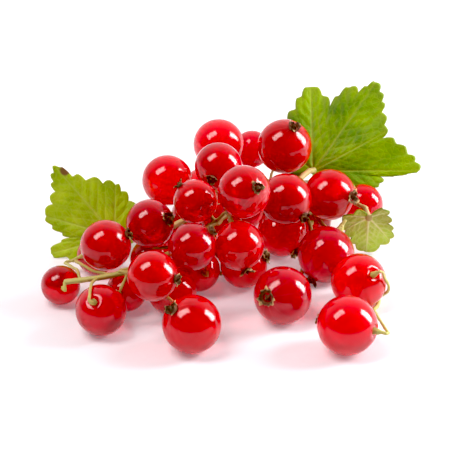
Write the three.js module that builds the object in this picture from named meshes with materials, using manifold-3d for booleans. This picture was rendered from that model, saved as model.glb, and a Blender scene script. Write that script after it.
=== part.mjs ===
// A sprig of redcurrants, picked and lying on a table: a short cut twig, four strings of fruit (strigs) that
// grow from its tip, and three small leaves. Millimetres, +Z up. X runs along the heap, from the thin end of the
// longest strig to the leaf on the right, and Y runs from the front of the heap to the cut end of the twig.
import * as THREE from "three";
import { mergeVertices } from "three/addons/utils/BufferGeometryUtils.js";
import Module from "manifold-3d";

const wasm = await Module();
wasm.setup();

// Driving sizes
const TOUCH = 0.12; // room left between neighbouring fruits
const FLATTENED = 0.15; // how far a fruit's underside gives where it rests on the table
const DIP = 0.97; // how deep the stalk's end of a fruit lies, as a share of the fruit's radius
const STALK_GAP = 0.3; // from a stalk's end to the piece that it carries
const PEDICEL_WIDTH = 0.7; // the short stalk of one fruit
const KNOB_WIDTH = 1.1; // the swelling at the fruit end of a pedicel
const KNOB_SET_BACK = 0.1; // of a pedicel's end, inside its knob
const TWIG_WIDTH = 3; // the woody twig
const BUD_WIDTH = 4.4; // the swelling at the twig's tip that everything grows from
const LEAF_THICKNESS = 0.4;
const TOOTH_SPACING = 2.6; // along the rim of a leaf
const TOOTH_HEIGHT = 0.8;
const SEGMENTS = 10; // round a fruit
const STALK_STEP = 1; // between the rings of a stalk
const CLEARANCE = 0.25; // between a stalk and what it passes

// The dried flower at the far end of a fruit: a small open crown on a short neck
const CROWN = { neck: 0.9, rim: 1.3, length: 1.2, depth: 0.5 };

const COLOURS = {
  skin: { color: 0xc8060e, roughness: 0.12, metalness: 0 },
  stalk: { color: 0x8f9a3c, roughness: 0.55, metalness: 0 },
  leaf: { color: 0x6f9c14, roughness: 0.5, metalness: 0 },
  bark: { color: 0x7d6345, roughness: 0.85, metalness: 0 },
};

// The twig, from the bud at its tip to the cut end that rests on the table.
const TWIG = [[13, 12, 11], [14.4, 18, 8], [16.2, 25, 4.4], [17.2, 30, 2.4]];

// The main stalks of the strigs: how thick each is, and its way from near the bud to its last fruit.
const STRIGS = {
  front: {
    width: 1.2,
    points: [
      [9.5, 9, 12.4], [0.4, -1.3, 14], [-4.6, -6.8, 13], [-10.5, -11.5, 10],
      [-20.2, -17.9, 9], [-28.5, -18.3, 8.3], [-31.4, -16.6, 7],
    ],
  },
  back: { width: 1.1, points: [[9.4, 15.4, 11.6], [5, 18, 11], [-2, 16.5, 11], [-8.5, 9, 10.5]] },
  right: {
    width: 0.9,
    points: [
      [17, 9.5, 8.6], [19, 6.5, 7.2], [23.5, 2, 4.6], [25.6, -3, 1.6], [28, -8, 0.8], [29.8, -12.3, 0.8],
      [28.8, -17, 0.9],
    ],
  },
  middle: {
    width: 0.9,
    points: [[15.8, 9, 7], [17.2, 4.5, 3], [15.6, -1, 1.2], [15.4, -7, 1.2], [15, -10.5, 1.8]],
  },
};

// The fruits: the strig that each grows on and how far along its main stalk (0 to 1), where its middle lies, its
// width, and the way that its dried flower points. The middles and widths of the fruits that show from the front
// are the rounded results of a separate layout program. The hidden fruits, the places along the strigs and the
// ways of the dried flowers are chosen by hand. Those marked rests lie on the table, and a dried flower that is
// squashed against the table has its own length.
const FRUITS = [
  { strig: "back", along: 0.12, at: [12, 17, 19], width: 11.2, tip: [0.3, -0.3, 0.9] },
  { strig: "front", along: 0.14, at: [12, 2, 15], width: 10.4, tip: [0.65, -0.7, -0.35] },
  { strig: "front", along: 0.2, at: [-1.5, 8.5, 19], width: 9.6, tip: [-0.26, -0.96, -0.07] },
  { strig: "front", along: 0.24, at: [3.5, -7.5, 22], width: 10.4, tip: [0.45, -0.7, 0.55] },
  { strig: "front", along: 0.29, at: [-1, 2, 9], width: 8.6, tip: [-0.4, 0.3, -0.9] },
  { strig: "front", along: 0.33, at: [-6, -2.5, 17], width: 8.8, tip: [-0.7, 0.2, 0.7] },
  { strig: "front", along: 0.36, at: [2.5, -12, 12.5], width: 9.8, tip: [0.3, -0.6, -0.75] },
  { strig: "front", along: 0.38, at: [3.5, -6, 4.6], width: 9.4, tip: [0.85, -0.2, 0.5], rests: true },
  { strig: "front", along: 0.46, at: [-5.5, -7.5, 4.4], width: 8.8, tip: [-0.3, 0.9, -0.35], rests: true },
  { strig: "front", along: 0.48, at: [-6.5, -15, 14], width: 9.4, tip: [0.75, 0.1, 0.65] },
  { strig: "front", along: 0.54, at: [-15, -6, 14], width: 9.6, tip: [0.7, -0.5, 0.5] },
  { strig: "front", along: 0.58, at: [-15, -3, 4.2], width: 8.4, tip: [-0.2, 0.9, -0.35], rests: true },
  { strig: "front", along: 0.62, at: [-10.5, -16, 4.8], width: 9.6, tip: [0.4, -0.8, -0.4], rests: true },
  { strig: "front", along: 0.68, at: [-14, -22.5, 12], width: 9.8, tip: [0.9, -0.4, 0.1] },
  { strig: "front", along: 0.72, at: [-6.5, -29.5, 5.7], width: 11.4, tip: [-0.6, -0.3, 0.75], rests: true },
  { strig: "front", along: 0.76, at: [-19.5, -15, 4], width: 8, tip: [0.3, 0.85, -0.35], rests: true },
  { strig: "front", along: 0.82, at: [-23.5, -11, 12], width: 10, tip: [0.85, -0.1, 0.5] },
  {
    strig: "front", along: 0.88, at: [-24, -23.5, 5], width: 10, tip: [0.25, 0.65, -0.7], crown: 0.8,
    rests: true,
  },
  { strig: "front", along: 0.94, at: [-26, -1, 4], width: 8, tip: [0.95, 0.1, 0.2], rests: true },
  { strig: "front", along: 1, at: [-32.5, -12.5, 3.9], width: 7.8, tip: [-0.2, 0.85, -0.35], rests: true },
  { strig: "back", along: 0.2, at: [5, 27, 4.1], width: 8.2, tip: [0.5, 0.8, -0.3], rests: true },
  { strig: "back", along: 0.3, at: [5.5, 29, 12], width: 7.8, tip: [1, 0.2, -0.1] },
  { strig: "back", along: 0.42, at: [3.5, 17, 4.6], width: 9.2, tip: [0.9, -0.1, -0.4], rests: true },
  { strig: "back", along: 0.52, at: [-1.5, 23.5, 16], width: 10.6, tip: [-0.3, 0.9, 0.1] },
  { strig: "back", along: 0.62, at: [-4.5, 23.5, 5], width: 10, tip: [-0.5, 0.8, -0.3], rests: true },
  { strig: "back", along: 0.78, at: [-7, 14, 4.4], width: 8.8, tip: [0.5, -0.8, -0.35], rests: true },
  { strig: "back", along: 0.9, at: [-12, 13.5, 13], width: 10.4, tip: [-0.55, 0.83, 0] },
  { strig: "back", along: 1, at: [-14, 8, 4.5], width: 9, tip: [-0.85, 0.3, -0.4], rests: true },
  { strig: "middle", along: 0.04, at: [18, 13.5, 3.8], width: 7.6, tip: [0.1, 0.9, -0.35], rests: true },
  { strig: "right", along: 0.12, at: [21, 7.5, 13], width: 10.4, tip: [0.8, -0.55, 0.2] },
  { strig: "right", along: 0.08, at: [28.2, 13.6, 7.4], width: 8.2, tip: [0.5, -0.2, -0.8] },
  {
    strig: "right", along: 0.3, at: [20, -3.5, 5.7], width: 11.4, tip: [-0.5, -0.55, -0.67], crown: 0.8,
    rests: true,
  },
  {
    strig: "right", along: 0.84, at: [26, -13.5, 5.7], width: 11, tip: [-0.5, 0.58, -0.64], crown: 0.8,
    rests: true,
  },
  { strig: "right", along: 1, at: [23, -30, 5.9], width: 11.6, tip: [-0.9, 0.4, -0.02], rests: true },
  { strig: "middle", along: 0.1, at: [11.5, 6.5, 5], width: 10.2, tip: [0.5, -0.7, -0.45], rests: true },
  { strig: "middle", along: 1, at: [11, -19, 5.7], width: 11.4, tip: [-0.52, -0.76, 0.39], rests: true },
];

// The leaves. A blade's rim is its lobes and the bays between them, as [degrees from the middle lobe, reach]. Where
// the rim shows from the front, these are the rounded results of a separate program that laid outline points on the
// blade's plane. The blade lies flat in its own frame, its middle lobe along X and its upper side up, and is then
// bent.
const LEAVES = {
  right: {
    base: [18.1, 21.4, 10.9], points: [0.574, 0.54, 0.614], faces: [0, -0.75, 0.66],
    rim: [
      [-150, 2.5], [-110, 6], [-84, 8.5], [-66, 14.5], [-60, 14.5], [-55, 22.5], [-45, 20.5], [-30, 16.5],
      [-14, 19.5], [0, 23.5], [5, 19.5], [11, 20], [20, 14.5], [36, 18.5], [50, 14], [72, 10], [100, 8.5],
      [125, 6], [150, 2.5],
    ],
    pleat: 0.1, cup: 0.002,
    stalkWidth: 1.3, stalk: [[15.4, 15.8, 12.7], [17.5, 20.3, 11.6]],
  },
  left: {
    base: [-22.6, 3.9, 5.4], points: [-0.54, 0.37, 0.76], faces: [-0.22, -0.88, 0.42],
    rim: [
      [-150, 2.5], [-110, 6], [-80, 7], [-54, 8.2], [-41, 9.6], [-34, 10.8], [-20, 11.2], [-4, 13.1],
      [4, 15.2], [8, 18.8], [12, 18.2], [22, 15.5], [32, 14.7], [43, 15.2], [55, 11.4], [61, 9.2], [66, 12],
      [74, 14.4], [81, 11.6], [90, 8.5], [115, 4], [150, 2],
    ],
    pleat: 0.1, cup: 0.003,
    stalkWidth: 1.2,
    stalk: [
      [9.5, 11.8, 9.8], [3, 11, 9.6], [-4, 8.5, 9.3], [-10.5, 3.8, 8], [-16.5, 2.6, 4.6], [-20, 3.2, 3.4],
      [-22, 4.1, 4.5],
    ],
  },
  small: {
    base: [28.8, 4.2, 9.6], points: [-0.08, 0.3, -0.95], faces: [0, 0.95, 0.3],
    rim: [
      [-150, 2.6], [-140, 4.3], [-104, 4], [-70, 4.6], [-42, 7.8], [-24, 8.6], [0, 9.4], [26, 6.6], [46, 6.1],
      [70, 5.8], [104, 3.8], [150, 1.8],
    ],
    pleat: 0.12, cup: -0.008,
    stalkWidth: 0.9,
    stalk: [[18, 14.2, 8.9], [22, 14.4, 8.6], [24.9, 10.9, 9.9], [28.4, 5.6, 10.9]],
  },
};

const vector = (list) => new THREE.Vector3(...list);

function material(kind) {
  return new THREE.MeshStandardMaterial(COLOURS[kind]);
}

function mesh(name, geometry, kind) {
  const made = new THREE.Mesh(geometry, material(kind));
  made.name = name;
  return made;
}

// A closed geometry as a manifold-3d solid, and back.
function solid(geometry) {
  const bare = geometry.index ? geometry.toNonIndexed() : geometry.clone();
  bare.deleteAttribute("normal");
  bare.deleteAttribute("uv");
  const merged = mergeVertices(bare, 1e-3);
  return new wasm.Manifold(
    new wasm.Mesh({
      numProp: 3,
      vertProperties: new Float32Array(merged.attributes.position.array),
      triVerts: new Uint32Array(merged.index.array),
    }),
  );
}

function geometryOf(made) {
  const { vertProperties, triVerts } = made.getMesh();
  return new THREE.BufferGeometry()
    .setAttribute("position", new THREE.BufferAttribute(vertProperties, 3))
    .setIndex(new THREE.BufferAttribute(triVerts, 1));
}

// Fruits that overlap press each other aside, and those that rest stay on the table.
function settle(fruits) {
  const ROUNDS = 400;
  for (let round = 0; round < ROUNDS; round++) {
    fruits.forEach((a, i) =>
      fruits.slice(i + 1).forEach((b) => {
        const apart = b.middle.clone().sub(a.middle);
        const short = a.radius + b.radius + TOUCH - apart.length();
        if (short <= 0) return;
        apart.setLength(short / 2);
        a.middle.sub(apart);
        b.middle.add(apart);
      }),
    );
    fruits.filter((f) => f.rests).forEach((f) => (f.middle.z = f.radius - FLATTENED));
  }
}

// One fruit, with its dried flower at +Y and the dip that takes its stalk at -Y. It grew as one piece.
function fruitGeometry(radius, crown) {
  const SHOULDER = 0.985; // where the skin ends and the dried flower begins
  const outline = [new THREE.Vector2(0, -DIP * radius)];
  for (const degrees of [-66, -38, -10, 18, 44, 68]) {
    const angle = THREE.MathUtils.degToRad(degrees);
    outline.push(new THREE.Vector2(radius * Math.cos(angle), radius * Math.sin(angle)));
  }
  outline.push(new THREE.Vector2(CROWN.neck, SHOULDER * radius));
  outline.push(new THREE.Vector2(CROWN.rim, radius + crown));
  outline.push(new THREE.Vector2(0, radius + (1 - CROWN.depth) * crown));
  return new THREE.LatheGeometry(outline, SEGMENTS);
}

function fruitMesh(name, fruit) {
  const made = mesh(name, fruitGeometry(fruit.radius, fruit.crown), "skin");
  made.position.copy(fruit.middle);
  made.quaternion.setFromUnitVectors(new THREE.Vector3(0, 1, 0), fruit.tip);
  made.updateMatrixWorld(true);
  if (fruit.rests) {
    const lowest = new THREE.Box3().setFromObject(made, true).min.z;
    made.position.z -= lowest + FLATTENED;
    made.updateMatrixWorld(true);
    const table = new THREE.BoxGeometry(40, 40, 10).translate(fruit.middle.x, fruit.middle.y, -5);
    table.applyMatrix4(made.matrixWorld.clone().invert());
    made.geometry = geometryOf(solid(made.geometry).subtract(solid(table)));
  }
  return made;
}

// A round stalk along a smooth curve through some points.
function stalkSolid(points, width, sides) {
  const section = new THREE.Shape(
    Array.from({ length: sides }, (_, i) => {
      const angle = (2 * Math.PI * i) / sides;
      return new THREE.Vector2((width / 2) * Math.cos(angle), (width / 2) * Math.sin(angle));
    }),
  );
  const extrudePath = new THREE.CatmullRomCurve3(points, false, "centripetal");
  const steps = Math.max(4, Math.round(extrudePath.getLength() / STALK_STEP));
  return solid(new THREE.ExtrudeGeometry(section, { steps, extrudePath, curveSegments: 1 }));
}

function knobSolid(at, width, detail) {
  return solid(new THREE.IcosahedronGeometry(width / 2, detail).translate(at.x, at.y, at.z));
}

// A stalk's points are pushed clear of the bud, every fruit and dried flower, and the table, and are drawn
// straight again by the share in straighten, but for the first and the last few. The first point stays put.
function pushClear(route, width, straighten, last, fruits) {
  const ROUNDS = 120;
  const clear = width / 2 + CLEARANCE;
  const obstacles = fruits.flatMap(({ middle, radius, tip, crown }) => [
    { at: middle, radius },
    { at: middle.clone().addScaledVector(tip, radius + 0.5 * crown), radius: CROWN.rim + 0.1 },
  ]);
  obstacles.push({ at: vector(TWIG[0]), radius: BUD_WIDTH / 2 });
  for (let round = 0; round < ROUNDS; round++) {
    for (let i = 1; i < route.length - last; i++) {
      const between = route[i - 1].clone().add(route[i + 1]).multiplyScalar(0.5);
      route[i].lerp(between, straighten);
    }
    for (const point of route.slice(1)) {
      for (const { at, radius } of obstacles) {
        const away = point.clone().sub(at);
        if (away.length() < radius + clear) point.copy(at).add(away.setLength(radius + clear));
      }
      point.z = Math.max(point.z, clear);
    }
  }
  return route;
}

// The way of a pedicel from its place on the main stalk to the dip at the near end of its fruit. It grows
// straight out of the fruit before it bends.
function pedicelRoute(from, fruit, fruits) {
  const BENDS = 8;
  const STRAIGHT = [0, 1.2, 2.3]; // where it ends, runs straight and starts to bend
  const dip = DIP * fruit.radius + STALK_GAP + KNOB_SET_BACK;
  const [end, near, out] = STRAIGHT.map((off) => fruit.middle.clone().addScaledVector(fruit.tip, -dip - off));
  const route = Array.from({ length: BENDS }, (_, i) => from.clone().lerp(out, i / (BENDS - 1)));
  return [...pushClear([...route, near], PEDICEL_WIDTH, 0.5, 2, fruits), end];
}

// A main stalk or leaf stalk: it leaves the bud towards its first point, then follows its points round the
// fruits.
function stalkRoute(points, width, fruits) {
  const first = vector(points[0]);
  const bud = vector(TWIG[0]);
  const start = first.clone().sub(bud).setLength(BUD_WIDTH / 2 + STALK_GAP).add(bud);
  const curve = new THREE.CatmullRomCurve3([start, ...points.map(vector)], false, "centripetal");
  return pushClear(curve.getSpacedPoints(4 * points.length), width, 0.1, 1, fruits);
}

// A strig's stalks grew as one piece: the main stalk and a pedicel to each of its fruits.
function strigMesh(name, { width, points }, own, fruits) {
  const rachis = stalkRoute(points, width, fruits);
  const curve = new THREE.CatmullRomCurve3(rachis, false, "centripetal");
  let made = stalkSolid(rachis, width, 6);
  for (const fruit of own) {
    const route = pedicelRoute(curve.getPointAt(fruit.along), fruit, fruits);
    made = made.add(stalkSolid(route, PEDICEL_WIDTH, 5));
    const knob = route.at(-1).clone().addScaledVector(fruit.tip, KNOB_SET_BACK - KNOB_WIDTH / 2);
    made = made.add(knobSolid(knob, KNOB_WIDTH, 0));
  }
  // A tight bend can leave slivers, on the stalks or loose beside them, and these go.
  const [whole] = made.decompose().sort((a, b) => b.volume() - a.volume());
  return mesh(name, geometryOf(whole), "stalk");
}

function twigMesh() {
  const points = TWIG.map(vector);
  const made = stalkSolid(points, TWIG_WIDTH, 10).add(knobSolid(points[0], BUD_WIDTH, 1));
  return mesh("twig", geometryOf(made), "bark");
}

// The rim of a blade as [angle, reach] pairs, with its saw teeth.
function toothedRim(rim, perTooth) {
  const found = [];
  rim.slice(1).forEach(([degrees, reach], i) => {
    const [degrees0, reach0] = rim[i];
    const angle0 = THREE.MathUtils.degToRad(degrees0);
    const angle1 = THREE.MathUtils.degToRad(degrees);
    const side = Math.hypot(reach - reach0, (angle1 - angle0) * 0.5 * (reach + reach0));
    const teeth = Math.max(1, Math.round(side / TOOTH_SPACING));
    for (let k = 0; k < teeth * perTooth; k++) {
      const share = k / (teeth * perTooth);
      const bulge = reach > reach0 ? share ** 0.8 : 1 - (1 - share) ** 0.8;
      const tooth = (k % perTooth) / perTooth;
      const rise = TOOTH_HEIGHT * (2 * Math.min(tooth, 1 - tooth) - 0.5);
      found.push([angle0 + (angle1 - angle0) * share, reach0 + (reach - reach0) * bulge + rise]);
    }
  });
  found.push([THREE.MathUtils.degToRad(rim.at(-1)[0]), rim.at(-1)[1]]);
  return found;
}

// How high a place on a blade stands: it is cupped, and pleated along the vein of each lobe.
function bend({ rim, cup, pleat }, angle, reach) {
  const FLAT_BEYOND = 0.4; // radians from a lobe's vein
  const reachOf = (i) => rim[i]?.[1] ?? Infinity;
  const lobes = rim.filter(([, r], i) => r > reachOf(i - 1) && r > reachOf(i + 1));
  const off = Math.min(...lobes.map(([degrees]) => Math.abs(angle - THREE.MathUtils.degToRad(degrees))));
  return cup * reach * reach + pleat * reach * Math.min(off, FLAT_BEYOND);
}

function leafGeometry(leaf) {
  const RINGS = [0.4, 0.75, 1];
  const rim = toothedRim(leaf.rim, 2);
  const positions = [];
  const faces = [];
  const place = (angle, reach, side) =>
    positions.push(reach * Math.cos(angle), reach * Math.sin(angle), bend(leaf, angle, reach) + side);
  const sheet = 1 + rim.length * RINGS.length;
  for (const side of [LEAF_THICKNESS / 2, -LEAF_THICKNESS / 2]) {
    place(0, 0, side);
    for (const [angle, reach] of rim) RINGS.forEach((share) => place(angle, reach * share, side));
  }
  const top = (i, ring) => 1 + i * RINGS.length + ring;
  const quad = (a, b, c, d) => faces.push(a, b, c, a, c, d);
  for (let i = 0; i < rim.length - 1; i++) {
    faces.push(0, top(i, 0), top(i + 1, 0));
    faces.push(sheet, sheet + top(i + 1, 0), sheet + top(i, 0));
    for (let ring = 0; ring < RINGS.length - 1; ring++) {
      quad(top(i, ring), top(i, ring + 1), top(i + 1, ring + 1), top(i + 1, ring));
      quad(
        sheet + top(i, ring), sheet + top(i + 1, ring),
        sheet + top(i + 1, ring + 1), sheet + top(i, ring + 1),
      );
    }
    const last = RINGS.length - 1;
    quad(top(i, last), sheet + top(i, last), sheet + top(i + 1, last), top(i + 1, last));
  }
  // The two edges that run from the stalk to the first and last tooth
  for (const [i, turn] of [[0, 1], [rim.length - 1, -1]]) {
    const edge = [0, ...RINGS.map((_, ring) => top(i, ring))];
    edge.slice(1).forEach((to, k) => {
      const from = edge[k];
      if (turn > 0) quad(from, from + sheet, to + sheet, to);
      else quad(to, to + sheet, from + sheet, from);
    });
  }
  return new THREE.BufferGeometry()
    .setAttribute("position", new THREE.Float32BufferAttribute(positions, 3))
    .setIndex(faces);
}

function leafMesh(name, leaf) {
  const made = mesh(name, leafGeometry(leaf), "leaf");
  const up = vector(leaf.faces).normalize();
  const along = vector(leaf.points);
  along.addScaledVector(up, -along.dot(up)).normalize();
  const across = up.clone().cross(along);
  made.setRotationFromMatrix(new THREE.Matrix4().makeBasis(along, across, up));
  made.position.copy(vector(leaf.base));
  return made;
}

const fruits = FRUITS.map((fruit) => ({
  crown: CROWN.length,
  ...fruit,
  middle: vector(fruit.at),
  radius: fruit.width / 2,
  tip: vector(fruit.tip).normalize(),
}));
settle(fruits);

const sprig = new THREE.Group();
fruits.forEach((fruit, i) => {
  const number = fruits.slice(0, i + 1).filter((f) => f.strig === fruit.strig).length;
  sprig.add(fruitMesh(`fruit_${fruit.strig}_${String(number).padStart(2, "0")}`, fruit));
});
for (const [strig, stalk] of Object.entries(STRIGS)) {
  const own = fruits.filter((fruit) => fruit.strig === strig);
  sprig.add(strigMesh(`strig_stalk_${strig}`, stalk, own, fruits));
}
for (const [side, leaf] of Object.entries(LEAVES)) {
  sprig.add(leafMesh(`leaf_${side}`, leaf));
  const route = stalkRoute(leaf.stalk, leaf.stalkWidth, fruits);
  sprig.add(mesh(`leaf_stalk_${side}`, geometryOf(stalkSolid(route, leaf.stalkWidth, 6)), "stalk"));
}
sprig.add(twigMesh());

// The origin is the middle of the part's footprint, on the table.
const box = new THREE.Box3().setFromObject(sprig, true);
const middle = box.getCenter(new THREE.Vector3());
sprig.position.set(-middle.x, -middle.y, -box.min.z);

export default sprig;
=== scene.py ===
import math
import random

import bpy
import numpy as np
from mathutils import Matrix, Vector


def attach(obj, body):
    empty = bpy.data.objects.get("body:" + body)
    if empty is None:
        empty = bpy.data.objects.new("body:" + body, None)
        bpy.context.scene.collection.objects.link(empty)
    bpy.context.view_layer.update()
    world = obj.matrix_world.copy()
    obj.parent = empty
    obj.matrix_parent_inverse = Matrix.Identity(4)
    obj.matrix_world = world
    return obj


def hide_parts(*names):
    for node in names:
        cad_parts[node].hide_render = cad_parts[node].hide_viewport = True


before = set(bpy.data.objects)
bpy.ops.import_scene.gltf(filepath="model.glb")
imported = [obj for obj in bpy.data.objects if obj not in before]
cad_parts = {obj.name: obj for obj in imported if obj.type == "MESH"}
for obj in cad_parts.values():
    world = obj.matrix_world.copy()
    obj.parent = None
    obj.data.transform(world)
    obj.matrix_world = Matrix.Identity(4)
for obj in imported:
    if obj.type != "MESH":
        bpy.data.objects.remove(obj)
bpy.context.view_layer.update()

# --------------------------------------------------------------------------------------------------
# The studio. The sprig lies on a plain white table, and the camera looks down on it from the front. A tall
# softbox stands at the right, a second one hangs over the left, and the white room fills the shadows.

CAMERA_TILT = math.radians(30)
CAMERA_DISTANCE = 0.45
VIEW_WIDTH = 0.0904
CAMERA_AIM = Vector((-0.0018, 0.0010, 0.010))

towards_camera = Vector((0, -math.cos(CAMERA_TILT), math.sin(CAMERA_TILT)))
bpy.ops.object.camera_add(location=CAMERA_AIM + CAMERA_DISTANCE * towards_camera)
camera = bpy.context.object
camera.name = "camera"
camera.rotation_euler = (math.pi / 2 - CAMERA_TILT, 0, 0)
camera.data.lens = camera.data.sensor_width * CAMERA_DISTANCE / VIEW_WIDTH
camera.data.clip_start = 0.05
bpy.context.scene.camera = camera
grade = bpy.context.scene.view_settings
grade.view_transform = "Standard"
grade.exposure = 0.12
# A crisp print, with the deepest tones brought down to black
grade.use_curve_mapping = True
grade.curve_mapping.black_level = (0.018, 0.018, 0.018)
grade.curve_mapping.update()


def softbox(name, towards, distance, wide, tall, power, colour):
    """A rectangular light that faces the sprig."""
    towards = Vector(towards).normalized()
    bpy.ops.object.light_add(type="AREA", location=distance * towards)
    light = bpy.context.object
    light.name = name
    light.rotation_euler = towards.to_track_quat("Z", "Y").to_euler()
    light.data.shape = "RECTANGLE"
    light.data.size = wide
    light.data.size_y = tall
    light.data.energy = power
    light.data.color = colour


softbox(
    "softbox_right", towards=(0.894, 0.155, 0.418), distance=0.55, wide=0.20, tall=0.40,
    power=4.6, colour=(1, 1, 1),
)
softbox(
    "softbox_left", towards=(-0.48, -0.155, 0.863), distance=0.55, wide=0.20, tall=0.38,
    power=2.2, colour=(1, 0.93, 0.9),
)

# The room is dark on the side of the camera and white behind the sprig, so that the berries get pale edges
room = bpy.data.worlds.new("white_room")
room.use_nodes = True
nodes, links = room.node_tree.nodes, room.node_tree.links
way = nodes.new("ShaderNodeTexCoord")
parts_of_way = nodes.new("ShaderNodeSeparateXYZ")
links.new(way.outputs["Generated"], parts_of_way.inputs["Vector"])
brightness = nodes.new("ShaderNodeMapRange")
brightness.interpolation_type = "SMOOTHSTEP"
for socket, value in (("From Min", -0.2), ("From Max", 0.95), ("To Min", 0.1), ("To Max", 0.95)):
    brightness.inputs[socket].default_value = value
links.new(parts_of_way.outputs["Y"], brightness.inputs["Value"])
links.new(brightness.outputs["Result"], nodes["Background"].inputs["Strength"])
nodes["Background"].inputs["Color"].default_value = (1, 1, 1, 1)
bpy.context.scene.world = room

bpy.ops.mesh.primitive_plane_add(size=6)
table = bpy.context.object
table.name = "table"
table_paint = bpy.data.materials.new("white_table")
table_paint.use_nodes = True
# The table gives off a little light of its own, which keeps the shadows pale
for socket, value in (
    ("Base Color", (0.81, 0.79, 0.83, 1)), ("Roughness", 0.6), ("Specular IOR Level", 0.2),
    ("Emission Color", (0.95, 0.9, 1, 1)), ("Emission Strength", 0.15),
):
    table_paint.node_tree.nodes["Principled BSDF"].inputs[socket].default_value = value
table.data.materials.append(table_paint)

# --------------------------------------------------------------------------------------------------
# The berries. Each is a round, juicy fruit under a thin glossy skin, with pale streaks that run from pole to
# pole. Its dried flower, a brown papery crown, sits at one pole, and at the other a dip takes the stalk.

MM = 0.001
BERRY_RADIUS = 5 * MM  # of the patterns that all the berries are copied from
CROWN_RADIUS = 0.95 * MM
CROWN_HEIGHT = 1.35 * MM
SEAM = 0.02 * MM  # vertices closer than this are one
DECIMALS = 7  # a CAD node's places are rounded to these, in metres, so that one corner's copies match


class Wire:
    """An output of a shader node. Sums on it add Math nodes."""

    def __init__(self, socket):
        self.socket = socket

    @staticmethod
    def node(tree, kind, settings, sockets, output=0):
        made = tree.nodes.new("ShaderNode" + kind)
        for name, value in settings.items():
            if name == "stops":
                while len(made.color_ramp.elements) < len(value):
                    made.color_ramp.elements.new(0.5)
                for element, (place, colour) in zip(made.color_ramp.elements, value):
                    element.position = place
                    element.color = (*colour, 1)
            else:
                setattr(made, name, value)
        for key, value in sockets.items():
            if isinstance(value, Wire):
                tree.links.new(value.socket, made.inputs[key])
            elif isinstance(value, tuple) and made.inputs[key].type == "RGBA":
                made.inputs[key].default_value = (*value, 1)
            else:
                made.inputs[key].default_value = value
        return Wire(made.outputs[output])

    def sum(self, operation, first, second):
        return Wire.node(self.socket.id_data, "Math", {"operation": operation}, {0: first, 1: second})

    def __add__(self, other):
        return self.sum("ADD", self, other)

    def __radd__(self, other):
        return self.sum("ADD", other, self)

    def __sub__(self, other):
        return self.sum("SUBTRACT", self, other)

    def __rsub__(self, other):
        return self.sum("SUBTRACT", other, self)

    def __mul__(self, other):
        return self.sum("MULTIPLY", self, other)

    def __rmul__(self, other):
        return self.sum("MULTIPLY", other, self)

    def __pow__(self, other):
        return self.sum("POWER", self, other)


def new_material(name):
    """A material with only its output node, and that node's tree."""
    material = bpy.data.materials.new(name)
    material.use_nodes = True
    tree = material.node_tree
    tree.nodes.remove(tree.nodes["Principled BSDF"])
    return material, tree


def mix(tree, share, first, second):
    """Two colours, mixed by a share."""
    return Wire.node(tree, "Mix", {"data_type": "RGBA"}, {0: share, 6: first, 7: second}, output=2)


def noise(tree, place, scale, detail):
    return Wire.node(tree, "TexNoise", {}, {"Vector": place, "Scale": scale, "Detail": detail})


def share_of(tree, value, start, end):
    """How far a value has come from start to end, from 0 to 1."""
    return Wire.node(tree, "MapRange", {"clamp": True}, {"Value": value, 1: start, 2: end})


def surface(tree, **sockets):
    """Ends a material's tree in a Principled shader with these sockets."""
    spaced = {name.replace("_", " "): value for name, value in sockets.items()}
    made = Wire.node(tree, "BsdfPrincipled", {}, spaced)
    tree.links.new(made.socket, tree.nodes["Material Output"].inputs["Surface"])


def berry_skin():
    VEINS = 11
    material, tree = new_material("berry_skin")
    place = Wire.node(tree, "TexCoord", {}, {}, output="Object")
    across = Wire.node(tree, "UVMap", {"uv_map": "UVMap"}, {})
    longitude = Wire.node(tree, "SeparateXYZ", {}, {"Vector": across}, output="X")
    latitude = Wire.node(tree, "SeparateXYZ", {}, {"Vector": across}, output="Y")
    ripeness = Wire.node(tree, "Attribute", {"attribute_name": "ripeness"}, {}, output="Fac")
    wobble = noise(tree, place, 420, 3)
    # The veins run under the skin from pole to pole, and show most by the dried flower
    turns = longitude * VEINS + wobble * 0.25
    vein = Wire.node(tree, "Math", {"operation": "PINGPONG"}, {0: turns, 1: 0.5}) * 2
    near_flower = share_of(tree, latitude, 0.55, 0.97) ** 2
    streak = share_of(tree, vein, 0.3, 0.0) * near_flower
    cloud = share_of(tree, noise(tree, place, 130, 2), 0.35, 0.7)
    flesh = mix(tree, cloud, (0.84, 0.0, 0.012), (0.97, 0.0, 0.008))
    flesh = mix(tree, ripeness, flesh, (0.68, 0.0, 0.03))
    colour = mix(tree, streak * 0.55, flesh, (1.0, 0.2, 0.18))
    colour = mix(tree, near_flower ** 3 * 0.5, colour, (0.85, 0.14, 0.13))
    dimples = noise(tree, place, 900, 2)
    bump = Wire.node(tree, "Bump", {}, {"Strength": 0.04, "Distance": 0.0002, "Height": dimples})
    surface(
        tree, Base_Color=colour, Roughness=0.11 + dimples * 0.05, Normal=bump, IOR=1.38,
        Subsurface_Weight=0.9, Subsurface_Radius=(1.0, 0.06, 0.05), Subsurface_Scale=3 * MM,
        Transmission_Weight=0.6, Coat_Weight=0.45, Coat_Roughness=0.03, Coat_IOR=1.45,
    )
    return material


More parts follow.
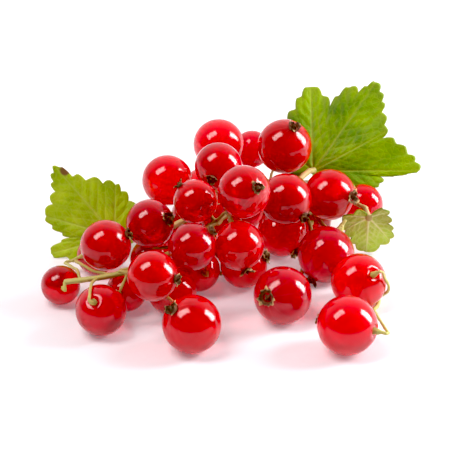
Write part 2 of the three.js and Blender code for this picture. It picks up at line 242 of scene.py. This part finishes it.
def dried_flower_skin():
    material, tree = new_material("dried_flower")
    place = Wire.node(tree, "TexCoord", {}, {}, output="Object")
    flare = Wire.node(tree, "Attribute", {"attribute_name": "flare"}, {}, output="Fac")
    ripeness = Wire.node(tree, "Attribute", {"attribute_name": "ripeness"}, {}, output="Fac")
    patches = noise(tree, place, 1500, 4)
    colour = Wire.node(
        tree, "ValToRGB",
        {"stops": [(0.0, (0.24, 0.08, 0.04)), (0.3, (0.10, 0.055, 0.03)), (0.55, (0.27, 0.18, 0.08)),
                   (0.8, (0.64, 0.45, 0.22))]},
        {"Fac": flare + (patches - 0.5) * 1.4 - ripeness * 0.3},
    )
    bump = Wire.node(tree, "Bump", {}, {"Strength": 0.7, "Distance": 0.0001, "Height": patches})
    surface(tree, Base_Color=colour, Roughness=0.85, Normal=bump, Specular_IOR_Level=0.25)
    return material


def stalk_skin():
    material, tree = new_material("fruit_stalk")
    place = Wire.node(tree, "TexCoord", {}, {}, output="Object")
    across = Wire.node(tree, "SeparateXYZ", {}, {"Vector": place}, output="X")
    # Youngest and greenest at both ends of the heap, brownest in the middle
    age = share_of(tree, across, -34 * MM, -10 * MM)
    age = age * share_of(tree, across, 22 * MM, 12 * MM)
    patches = noise(tree, place, 330, 4)
    green = mix(tree, patches, (0.42, 0.5, 0.08), (0.64, 0.46, 0.2))
    brown = mix(tree, patches, (0.3, 0.23, 0.06), (0.34, 0.14, 0.06))
    colour = mix(tree, age * 0.8, green, brown)
    fibres = noise(tree, place, 2200, 3)
    bump = Wire.node(tree, "Bump", {}, {"Strength": 0.5, "Distance": 0.00015, "Height": fibres})
    surface(
        tree, Base_Color=colour, Roughness=0.42 + fibres * 0.2, Normal=bump, Subsurface_Weight=0.1,
        Subsurface_Radius=(1.0, 0.8, 0.3), Subsurface_Scale=0.5 * MM,
    )
    return material


def deselect():
    for each in list(bpy.context.selected_objects):
        each.select_set(False)


def pick(piece):
    """Makes a piece the active one and the only one selected."""
    deselect()
    bpy.context.view_layer.objects.active = piece
    piece.select_set(True)


def numbers(mesh):
    """The places of a mesh's vertices, one row each."""
    found = np.empty(3 * len(mesh.vertices))
    mesh.vertices.foreach_get("co", found)
    return found.reshape(-1, 3)


def place_vertices(mesh, places):
    mesh.vertices.foreach_set("co", np.asarray(places, np.float32).ravel())
    mesh.update()


def sheet_of(name, columns, rows, shape):
    """A grid primitive, with each vertex put where shape says for its share across and its share up."""
    deselect()
    bpy.ops.mesh.primitive_grid_add(x_subdivisions=columns, y_subdivisions=rows, size=1)
    piece = bpy.context.object
    piece.name = name
    piece.data.name = name
    share = numbers(piece.data)[:, :2] + 0.5
    place_vertices(piece.data, shape(share[:, 0], share[:, 1]))
    return piece


def number_attribute(mesh, name, values):
    mesh.attributes.new(name, "FLOAT", "POINT").data.foreach_set("value", np.asarray(values, np.float32))


def weld(piece, distance):
    """Merges what lies together and turns all faces outwards."""
    pick(piece)
    bpy.ops.object.mode_set(mode="EDIT")
    bpy.ops.mesh.select_all(action="SELECT")
    bpy.ops.mesh.remove_doubles(threshold=distance)
    bpy.ops.mesh.normals_make_consistent(inside=False)
    bpy.ops.object.mode_set(mode="OBJECT")


def apply_modifiers(piece):
    pick(piece)
    for modifier in list(piece.modifiers):
        bpy.ops.object.modifier_apply(modifier=modifier.name)


def smooth(piece):
    pick(piece)
    bpy.ops.object.shade_smooth()


def join(pieces, name):
    deselect()
    for each in pieces:
        each.select_set(True)
    bpy.context.view_layer.objects.active = pieces[0]
    bpy.ops.object.join()
    bpy.context.object.name = name
    return bpy.context.object


def berry_body():
    """A berry with its flower end up: a small rise under the flower, and a dip with a rim at the stalk."""
    deselect()
    bpy.ops.mesh.primitive_uv_sphere_add(segments=64, ring_count=40, radius=BERRY_RADIUS)
    body = bpy.context.object
    places = numbers(body.data)
    off = np.hypot(places[:, 0], places[:, 1])
    dip = np.exp(-((off / (1.0 * MM)) ** 2)) * (places[:, 2] < 0)
    ring = np.exp(-(((off - 1.5 * MM) / (0.7 * MM)) ** 2)) * (places[:, 2] < 0)
    rise = np.exp(-((off / (1.1 * MM)) ** 2)) * (places[:, 2] > 0)
    places[:, 2] += 0.55 * MM * dip - 0.08 * MM * ring + 0.12 * MM * rise
    place_vertices(body.data, places)
    body.data.materials.append(skin)
    smooth(body)
    return body


def crown(seed, fullness=1.0):
    """The dried flower: a short neck that opens into five withered sepals, with shrivelled styles inside."""
    chance = random.Random(seed)
    turns = [chance.uniform(0, 2 * math.pi) for _ in range(6)]
    spread = chance.uniform(0.85, 1.25)
    curl = chance.uniform(-0.5, 0.35)

    def sepals(around, up):
        angle = 2 * math.pi * around
        lobe = (0.5 + 0.5 * np.cos(5 * angle + turns[0])) * (1 + 0.3 * np.sin(2 * angle + turns[4]))
        crumple = 0.2 * np.sin(3 * angle + turns[1]) + 0.13 * np.sin(11 * angle + turns[2] + 4 * up)
        waist = 0.22 * np.sin(math.pi * np.minimum(up * 1.8, 1))
        radius = 1.0 - waist + spread * (0.42 + curl * up) * up ** 1.5
        radius = radius * (1 + crumple * up) - 0.18 * up ** 3 * (1 - lobe)
        fold = 0.14 * np.sin(2 * angle + turns[3]) + 0.1 * np.sin(7 * angle + turns[1])
        height = up * (0.6 + 0.4 * lobe + fold) - 0.35 * spread * lobe * up ** 4
        return np.stack([
            CROWN_RADIUS * radius * np.cos(angle),
            CROWN_RADIUS * radius * np.sin(angle),
            CROWN_HEIGHT * height,
        ], axis=1)

    petals = sheet_of("sepals", columns=40, rows=9, shape=sepals)
    places = numbers(petals.data)
    off = np.hypot(places[:, 0], places[:, 1])
    number_attribute(petals.data, "flare", off / CROWN_RADIUS - 0.75)
    weld(petals, SEAM)
    walls = petals.modifiers.new("thickness", "SOLIDIFY")
    walls.thickness = 0.12 * MM
    walls.offset = -1
    apply_modifiers(petals)

    def styles(around, up):
        angle = 2 * math.pi * around
        radius = (0.62 - 0.5 * up) * (1 + 0.35 * np.sin(4 * angle + turns[4] + 5 * up))
        lean = 0.25 * up * up
        return np.stack([
            CROWN_RADIUS * (radius * np.cos(angle) + lean * math.cos(turns[5])),
            CROWN_RADIUS * (radius * np.sin(angle) + lean * math.sin(turns[5])),
            CROWN_HEIGHT * (0.05 + 0.8 * up),
        ], axis=1)

    middle = sheet_of("styles", columns=24, rows=8, shape=styles)
    number_attribute(middle.data, "flare", 0.15 + 0.3 * numbers(middle.data)[:, 2] / CROWN_HEIGHT)
    weld(middle, SEAM)
    bpy.ops.object.mode_set(mode="EDIT")
    bpy.ops.mesh.select_all(action="SELECT")
    bpy.ops.mesh.fill_holes(sides=0)
    bpy.ops.object.mode_set(mode="OBJECT")
    whole = join([petals, middle], "crown")
    whole.data.materials.append(papery)
    smooth(whole)
    whole.data.transform(Matrix.Translation((0, 0, 0.975 * BERRY_RADIUS)) @ Matrix.Scale(fullness, 4))
    return whole


def stalk_socket():
    """Where the stalk swells as it enters the dip."""

    def swelling(around, up):
        angle = 2 * math.pi * around
        radius = (0.62 - 0.16 * up + 0.06 * np.sin(5 * angle)) * MM
        height = -BERRY_RADIUS + (0.75 - 1.3 * up) * MM
        return np.stack([radius * np.cos(angle), radius * np.sin(angle), height], axis=1)

    socket = sheet_of("socket", columns=20, rows=6, shape=swelling)
    weld(socket, SEAM)
    bpy.ops.object.mode_set(mode="EDIT")
    bpy.ops.mesh.select_all(action="SELECT")
    bpy.ops.mesh.fill_holes(sides=0)
    bpy.ops.mesh.normals_make_consistent(inside=False)
    bpy.ops.object.mode_set(mode="OBJECT")
    socket.data.materials.append(stalk_green)
    smooth(socket)
    return socket


def corners_of(node):
    """The places of a CAD node's corners, each once."""
    return np.unique(np.round(numbers(node.data), DECIMALS), axis=0)


def lie_of(node):
    """A fruit's middle, radius and the way that its dried flower points, measured on its node. A sphere is
    fitted to the fruit's skin, and what stands outside the sphere is the flower."""
    ROUNDS = 12
    SKIN = 0.03  # of the radius: what is nearer the sphere is skin
    FLOWER = 0.1  # of the radius: what stands further out is the flower
    places = corners_of(node)
    on_skin = np.ones(len(places), bool)
    for _ in range(ROUNDS):
        held = places[on_skin]
        unknowns = np.c_[2 * held, np.ones(len(held))]
        found = np.linalg.lstsq(unknowns, (held ** 2).sum(axis=1), rcond=None)[0]
        middle = found[:3]
        radius = math.sqrt(found[3] + middle @ middle)
        off = np.linalg.norm(places - middle, axis=1) - radius
        on_skin = np.abs(off) < max(SKIN * radius, 0.5 * np.abs(off[on_skin]).max())
    tip = (places[off > FLOWER * radius] - middle).mean(axis=0)
    return Vector(middle), radius, Vector(tip).normalized()


skin = berry_skin()
papery = dried_flower_skin()
stalk_green = stalk_skin()

patterns = []
for seed in range(4):
    pattern = join([berry_body(), crown(seed), stalk_socket()], "berry_pattern")
    patterns.append(pattern)
worn_pattern = join([berry_body(), crown(1, fullness=0.5), stalk_socket()], "worn_berry_pattern")
WORN = {"fruit_right_05"}  # its dried flower has mostly rubbed off

chance = random.Random(7)
berry_nodes = sorted(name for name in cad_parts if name.startswith("fruit_"))
for name in berry_nodes:
    middle, radius, tip = lie_of(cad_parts[name])
    drawn = chance.choice(patterns)
    berry = (worn_pattern if name in WORN else drawn).copy()
    berry.data = berry.data.copy()
    bpy.context.scene.collection.objects.link(berry)
    berry.name = name.replace("fruit", "berry")
    spin = Matrix.Rotation(chance.uniform(0, 2 * math.pi), 4, "Z")
    turn = Vector((0, 0, 1)).rotation_difference(tip).to_matrix().to_4x4()
    size = Matrix.Scale(radius / BERRY_RADIUS, 4)
    berry.data.transform(Matrix.Translation(middle) @ turn @ spin @ size)
    # Where a dried flower is under its berry, it is pressed flat by the table
    places = numbers(berry.data)
    places[:, 2] = np.maximum(places[:, 2], 0)
    place_vertices(berry.data, places)
    number_attribute(berry.data, "ripeness", [chance.random() ** 2 * 0.8] * len(berry.data.vertices))
    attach(berry, "root")
    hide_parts(name)
for pattern in [*patterns, worn_pattern]:
    bpy.data.objects.remove(pattern)

# --------------------------------------------------------------------------------------------------
# The stalks. A thin ribbed stalk runs through each string of fruit, with a finer one to every berry. They are
# green and a little hairy when young, browner with age, and swell where one grows from another.


def grown_copy(name, node, voxel, smoothing, material, swellings=()):
    """A stalk's node, copied, grown into one rounded skin with any swellings, and roughened a little."""
    deselect()
    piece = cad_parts[node].copy()
    piece.data = piece.data.copy()
    bpy.context.scene.collection.objects.link(piece)
    piece.name = name
    piece.parent = None
    for key in list(piece.keys()):
        del piece[key]
    piece.hide_render = piece.hide_viewport = False
    weld(piece, distance=0.001 * MM)
    if swellings:
        piece = join([piece, *swellings], name)
    remesh = piece.modifiers.new("grow", "REMESH")
    remesh.mode = "VOXEL"
    remesh.voxel_size = voxel
    relax = piece.modifiers.new("relax", "SMOOTH")
    relax.iterations = smoothing
    relax.factor = 0.5
    ribs = bpy.data.textures.new("ribs", "CLOUDS")
    ribs.noise_scale = 1.1 * MM
    rough = piece.modifiers.new("rough", "DISPLACE")
    rough.texture = ribs
    rough.texture_coords = "GLOBAL"
    rough.strength = 0.16 * MM
    rough.mid_level = 0.45
    apply_modifiers(piece)
    piece.data.materials.clear()
    piece.data.materials.append(material)
    smooth(piece)
    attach(piece, "root")
    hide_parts(node)
    return piece


for node in sorted(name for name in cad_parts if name.startswith("strig_stalk_")):
    name = node.replace("strig_stalk", "strig")
    strig = grown_copy(name, node, voxel=0.13 * MM, smoothing=4, material=stalk_green)

# --------------------------------------------------------------------------------------------------
# The leaves. Each blade is thin, with three main lobes and rounded teeth, and is quilted between its veins.
# The upper face is a deeper green than the lower. Two leaves turn it to the front, the small one does not.

BLADE_THICKNESS = 0.22 * MM
SIDE_VEIN = 0.17  # the width of a side vein, in millimetres. A main vein is wider
FIRST_ANGLE = math.radians(150)  # on either side of the middle lobe, the blade ends here, at its stalk
LEAVES = {
    "right": {
        "points": (0.574, 0.54, 0.614), "faces": (0, -0.75, 0.66), "cup": 0.002, "bow": 0.6,
        "veins": [(-55, 22), (-27, 17), (0, 23), (36, 18), (-100, 7), (85, 9)],
    },
    "left": {
        "points": (-0.54, 0.37, 0.76), "faces": (-0.22, -0.88, 0.42), "cup": 0.003, "bow": 0.4,
        "veins": [(9, 18), (-34, 10.5), (43, 14.8), (74, 14), (-90, 6)],
    },
    "small": {
        "points": (-0.08, 0.3, -0.95), "faces": (0, 0.95, 0.3), "cup": -0.008, "bow": 0.3,
        "veins": [(-4, 9), (-40, 7.4), (48, 6), (-120, 4), (92, 4.4)],
    },
}


def leaf_face(name, light, dark, vein_colour, scorch=0.0, roughness=0.42, relief=0.5):
    material, tree = new_material(name)
    place = Wire.node(tree, "TexCoord", {}, {}, output="Object")
    vein = Wire.node(tree, "Attribute", {"attribute_name": "vein"}, {}, output="Fac")
    edge = Wire.node(tree, "Attribute", {"attribute_name": "to_rim"}, {}, output="Fac")
    burnt = Wire.node(tree, "Attribute", {"attribute_name": "burnt"}, {}, output="Fac")
    cells = Wire.node(tree, "TexVoronoi", {"feature": "DISTANCE_TO_EDGE"}, {"Vector": place, "Scale": 900.0})
    net = share_of(tree, cells, 0.16, 0.0)
    patches = noise(tree, place, 160, 4)
    share = share_of(tree, patches, 0.35, 0.68)
    colour = mix(tree, share, light, dark)
    colour = mix(tree, net * 0.16, colour, vein_colour)
    colour = mix(tree, vein * 0.7, colour, vein_colour)
    colour = mix(tree, (edge ** 14) * 0.3, colour, (0.33, 0.28, 0.04))
    spots = share_of(tree, noise(tree, place, 240, 5), 0.66, 0.72)
    brown = mix(tree, patches, (0.10, 0.04, 0.012), (0.30, 0.17, 0.06))
    colour = mix(tree, spots * scorch * 0.6, colour, brown)
    colour = mix(tree, share_of(tree, burnt + (patches - 0.5) * 0.7, 0.4, 0.65), colour, brown)
    height = net * -0.35 + noise(tree, place, 1300, 3) * 0.6
    bump = Wire.node(tree, "Bump", {}, {"Strength": relief, "Distance": 0.00012, "Height": height})
    surface(
        tree, Base_Color=colour, Roughness=roughness + patches * 0.16, Normal=bump, Specular_IOR_Level=0.28,
        Subsurface_Weight=0.12, Subsurface_Radius=(0.5, 1.0, 0.15), Subsurface_Scale=0.6 * MM,
    )
    return material


def blade_corners(node, base, frame_of_leaf):
    """The outline of a blade's node in the blade's own frame: each corner's angle, and its reach and height
    in millimetres. The corners are by turns a notch and the point of a tooth."""
    AT_STALK = 0.5
    SAME_ANGLE = 0.004
    SAME_REACH = 0.01
    flat = (corners_of(node) - base) @ frame_of_leaf.T / MM
    flat = flat[np.hypot(flat[:, 0], flat[:, 1]) > AT_STALK]
    reach = np.hypot(flat[:, 0], flat[:, 1])
    angle = np.arctan2(flat[:, 1], flat[:, 0])
    order = np.argsort(angle)
    found = []
    for row in np.split(order, np.flatnonzero(np.diff(angle[order]) > SAME_ANGLE) + 1):
        outer = row[reach[row] > reach[row].max() - SAME_REACH]
        found.append((angle[outer].mean(), reach[outer].mean(), flat[outer, 2].mean()))
    return np.array(found).T


def rim_reach(at, reach, angle):
    """How far the blade reaches at an angle: out to its corners, with a round tooth between two notches."""
    TOOTH = 0.8  # below 1, a tooth is fuller than a sine wave
    row = np.clip(np.searchsorted(at, angle, side="right") - 1, 0, len(at) - 2)
    share = np.clip((angle - at[row]) / (at[row + 1] - at[row]), 0, 1)
    climbing = np.sin(0.5 * math.pi * share) ** TOOTH
    falling = 1 - np.abs(np.cos(0.5 * math.pi * share)) ** TOOTH
    return reach[row] + (reach[row + 1] - reach[row]) * np.where(row % 2 == 0, climbing, falling)


def vein_paths(leaf):
    """The main veins from the stalk to the lobes' tips, each with side veins towards the teeth. Each row is a
    start, an end and a width, in millimetres."""
    LONG_VEIN = 10
    found = []
    for degrees, length in leaf["veins"]:
        way = np.array([math.cos(math.radians(degrees)), math.sin(math.radians(degrees))])
        found.append((0 * way, length * way, 0.34 if length > LONG_VEIN else 0.26))
        side = np.array([-way[1], way[0]])
        step = 2.4 if length > LONG_VEIN else 1.6
        for k in range(1, int(length / step)):
            start = way * step * (k + 0.25)
            left = length - step * k
            for turn in (-1, 1):
                start_here = start + way * (0.4 * step if turn > 0 else 0)
                reach = 0.62 * left
                end = start_here + reach * (0.72 * way + turn * 0.69 * side)
                found.append((start_here, end, SIDE_VEIN))
    return found


def nearest_vein(places, paths):
    """For each place, how far the nearest vein is, and how much of a vein it is itself."""
    FAR = 9.0
    away = np.full(len(places), FAR)
    strength = np.zeros(len(places))
    for start, end, width in paths:
        line = end - start
        share = np.clip(((places - start) @ line) / (line @ line), 0, 1)
        off = np.linalg.norm(places - start - share[:, None] * line, axis=1)
        away = np.minimum(away, off)
        thin = width * (1 - 0.6 * share)
        main = 0.45 + 0.55 * (width > SIDE_VEIN)
        strength = np.maximum(strength, np.exp(-((off / thin) ** 2)) * main * (1 - 0.5 * share))
    return away, strength


def blade_base(node):
    """Where the stalk meets the blade: halfway between the two corners that most of its triangles share."""
    places, uses = np.unique(np.round(numbers(node.data), DECIMALS), axis=0, return_counts=True)
    ends = places[np.argsort(uses)[-2:]]
    return ends.mean(axis=0)


def leaf_blade(side, upper, lower, scorched=None):
    """A blade over its node. Scorched is a brown spot's place on the blade and its size, in millimetres."""
    leaf = LEAVES[side]
    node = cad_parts["leaf_" + side]
    points, up = Vector(leaf["points"]), Vector(leaf["faces"]).normalized()
    along = (points - points.dot(up) * up).normalized()
    frame_of_leaf = np.array([along, up.cross(along), up])
    base = blade_base(node)
    paths = vein_paths(leaf)
    at, out_to, stands = blade_corners(node, base, frame_of_leaf)
    folds = (stands - leaf["cup"] * out_to ** 2) / out_to
    marks = {}

    def blade(around, share):
        angle = FIRST_ANGLE * (1 - 2 * around)
        reach = rim_reach(at, out_to, angle) * share
        flat = np.stack([reach * np.cos(angle), reach * np.sin(angle)], axis=1)
        away, strength = nearest_vein(flat, paths)
        height = leaf["cup"] * reach * reach + reach * np.interp(angle, at, folds)
        inside = np.minimum(1, 4 * (1 - share)) * np.minimum(1, reach / 4)
        quilt = 0.2 * (1 - np.exp(-((away / 0.9) ** 2))) * inside
        wave = leaf["bow"] * share ** 2 * np.sin(9 * angle) * 0.5
        droop = -leaf["bow"] * 1.2 * share ** 4
        height = height + quilt - 0.12 * strength + wave + droop
        marks["vein"] = strength
        marks["to_rim"] = share
        marks["burnt"] = 0 * share
        if scorched:
            marks["burnt"] = np.exp(-(((flat - scorched[:2]) ** 2).sum(axis=1)) / scorched[2] ** 2)
        return base + MM * np.c_[flat, height] @ frame_of_leaf

    piece = sheet_of("blade_" + side, columns=460, rows=44, shape=blade)
    for name, values in marks.items():
        number_attribute(piece.data, name, values)
    pick(piece)
    bpy.ops.object.mode_set(mode="EDIT")
    bpy.ops.mesh.select_all(action="SELECT")
    bpy.ops.mesh.remove_doubles(threshold=0.01 * MM)
    bpy.ops.object.mode_set(mode="OBJECT")
    piece.data.materials.append(upper)
    piece.data.materials.append(lower)
    thick = piece.modifiers.new("thickness", "SOLIDIFY")
    thick.thickness = BLADE_THICKNESS
    thick.offset = 0
    thick.material_offset = 1
    apply_modifiers(piece)
    smooth(piece)
    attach(piece, "root")
    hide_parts("leaf_" + side)


bright = leaf_face(
    "leaf_upper", light=(0.24, 0.39, 0.0), dark=(0.085, 0.21, 0.0), vein_colour=(0.4, 0.45, 0.04), scorch=0.2,
)
yellowish = leaf_face(
    "leaf_upper_pale", light=(0.44, 0.57, 0.02), dark=(0.24, 0.38, 0.0), vein_colour=(0.56, 0.62, 0.12),
    scorch=0.5,
)
pale = leaf_face(
    "leaf_lower", light=(0.56, 0.78, 0.1), dark=(0.42, 0.48, 0.09), vein_colour=(0.95, 0.95, 0.6),
    roughness=0.6, relief=0.8,
)
leaf_blade("right", bright, pale)
leaf_blade("left", yellowish, pale, scorched=(16.6, 1.5, 1.3))
leaf_blade("small", bright, pale)

# --------------------------------------------------------------------------------------------------
# The leaf stalks. Each is a grooved green stalk, flushed pink where it has seen the sun, and a little downy.


def leaf_stalk_skin():
    material, tree = new_material("leaf_stalk")
    place = Wire.node(tree, "TexCoord", {}, {}, output="Object")
    patches = noise(tree, place, 260, 4)
    colour = mix(tree, patches, (0.46, 0.5, 0.12), (0.6, 0.32, 0.2))
    fibres = noise(tree, place, 2400, 3)
    bump = Wire.node(tree, "Bump", {}, {"Strength": 0.4, "Distance": 0.0001, "Height": fibres})
    surface(tree, Base_Color=colour, Roughness=0.4 + fibres * 0.2, Normal=bump)
    return material


def leaf_joint(side):
    """The swelling where the stalk meets the blade, and the stretch of stalk that leads to it."""
    SWELLING = 0.78 * MM
    STALK_END = 1.2 * MM  # the last stretch of the node, whose middle the neck starts from
    base = Vector(blade_base(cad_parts["leaf_" + side]))
    ends = numbers(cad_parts["leaf_stalk_" + side].data)
    off = np.linalg.norm(ends - np.array(base), axis=1)
    end = Vector(ends[off < off.min() + STALK_END].mean(axis=0))
    deselect()
    bpy.ops.mesh.primitive_uv_sphere_add(segments=16, ring_count=10, radius=SWELLING, location=base)
    ball = bpy.context.object
    deselect()
    bpy.ops.mesh.primitive_cone_add(
        vertices=12, radius1=0.85 * SWELLING, radius2=0.6 * SWELLING, depth=(end - base).length,
        location=(end + base) / 2, rotation=(end - base).to_track_quat("Z", "Y").to_euler(),
    )
    neck = bpy.context.object
    for bit in (ball, neck):
        pick(bit)
        bpy.ops.object.transform_apply()
    return ball, neck


leaf_stalk_green = leaf_stalk_skin()
for side in LEAVES:
    stalk = grown_copy(
        "leaf_stem_" + side, "leaf_stalk_" + side, voxel=0.13 * MM, smoothing=3,
        material=leaf_stalk_green, swellings=leaf_joint(side),
    )

# --------------------------------------------------------------------------------------------------
# The twig. The strings of fruit and the leaves all spring from one bud on a short piece of woody branch. Its
# bark is grey-brown and flaky, and the cut end shows pale wood round a brown pith.


def bark_skin():
    material, tree = new_material("bark")
    place = Wire.node(tree, "TexCoord", {}, {}, output="Object")
    flakes = noise(tree, place, 700, 6)
    colour = mix(tree, flakes, (0.09, 0.05, 0.03), (0.34, 0.25, 0.16))
    bump = Wire.node(tree, "Bump", {}, {"Strength": 0.8, "Distance": 0.0003, "Height": flakes})
    surface(tree, Base_Color=colour, Roughness=0.8, Normal=bump)
    return material


def cut_wood():
    material, tree = new_material("cut_wood")
    place = Wire.node(tree, "TexCoord", {}, {}, output="Object")
    off_pith = Wire.node(tree, "Attribute", {"attribute_name": "off_pith"}, {}, output="Fac")
    grain = noise(tree, place, 2600, 4)
    colour = mix(tree, grain, (0.5, 0.4, 0.22), (0.78, 0.68, 0.44))
    pith = share_of(tree, off_pith + grain * 0.2, 0.5, 0.3)
    colour = mix(tree, pith * 0.8, colour, (0.24, 0.13, 0.05))
    bump = Wire.node(tree, "Bump", {}, {"Strength": 0.5, "Distance": 0.0001, "Height": grain})
    surface(tree, Base_Color=colour, Roughness=0.85, Normal=bump)
    return material


CUT_DEPTH = 0.6 * MM  # the cut face is within this of the branch's outer end
branch = grown_copy("branch", "twig", voxel=0.18 * MM, smoothing=3, material=bark_skin())
places = numbers(branch.data)
middle = places.mean(axis=0)
lengthwise = np.linalg.svd(places - middle, full_matrices=False)[2][0]
outwards = lengthwise if lengthwise @ middle > 0 else -lengthwise
along = (places - middle) @ outwards
off_pith = np.linalg.norm(places - middle - along[:, None] * outwards, axis=1) / MM
number_attribute(branch.data, "off_pith", off_pith)
branch.data.materials.append(cut_wood())
for face in branch.data.polygons:
    if face.normal @ Vector(outwards) > 0.6 and along[face.vertices[0]] > along.max() - CUT_DEPTH:
        face.material_index = 1
